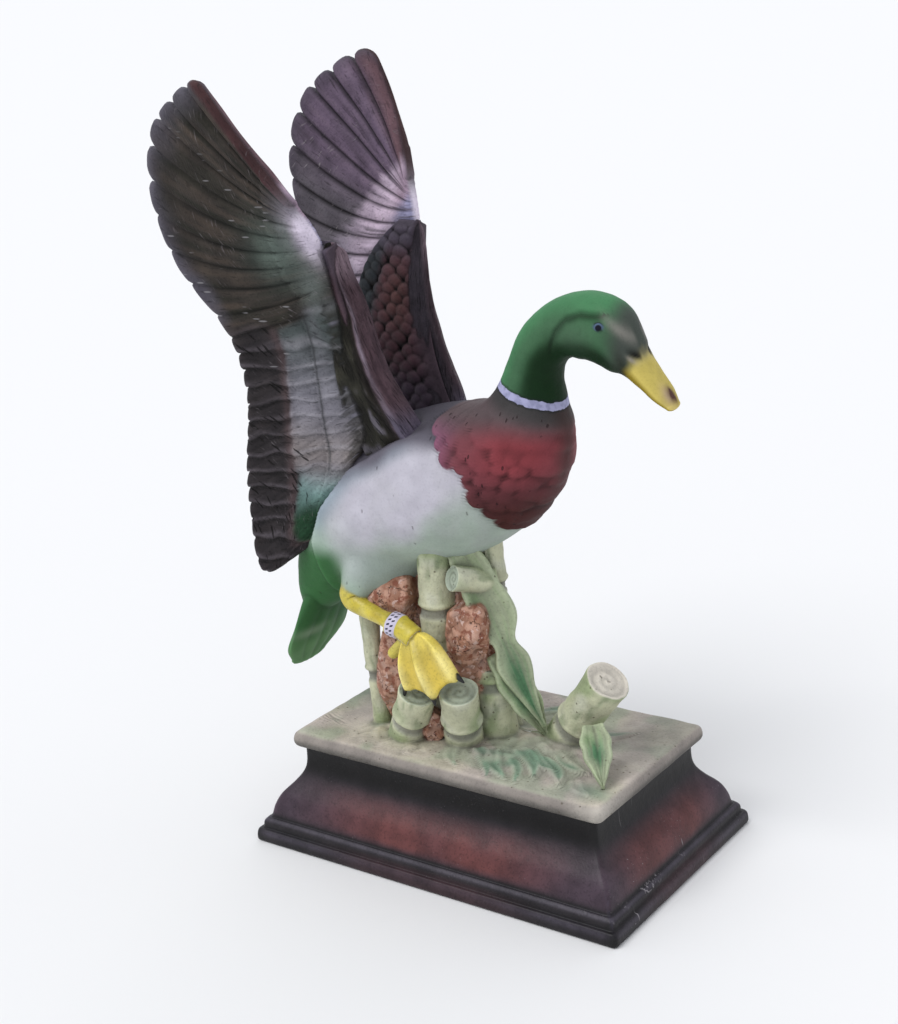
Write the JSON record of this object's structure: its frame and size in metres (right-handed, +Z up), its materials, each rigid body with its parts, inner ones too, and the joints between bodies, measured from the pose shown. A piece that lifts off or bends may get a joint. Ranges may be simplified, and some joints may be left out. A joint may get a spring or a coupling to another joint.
{
  "type": "duck figurine",
  "caption": "Painted bisque drake alighting with raised wings on a cluster of cut bamboo and stones, on a ground slab and a moulded rectangular plinth.",
  "frame": {"origin": "middle of the plinth's underside", "axes": "+Z up, +X the way the drake faces, +Y its left side"},
  "size_m": [0.186, 0.1014, 0.2866],
  "materials": {
    "painted_bisque": "matte airbrushed bisque",
    "painted_base": "satin airbrushed mahogany brown, near black along the mouldings"
  },
  "bodies": {
    "root": {"figurine": "painted_bisque", "plinth": "painted_base"}
  },
  "joints": []
}
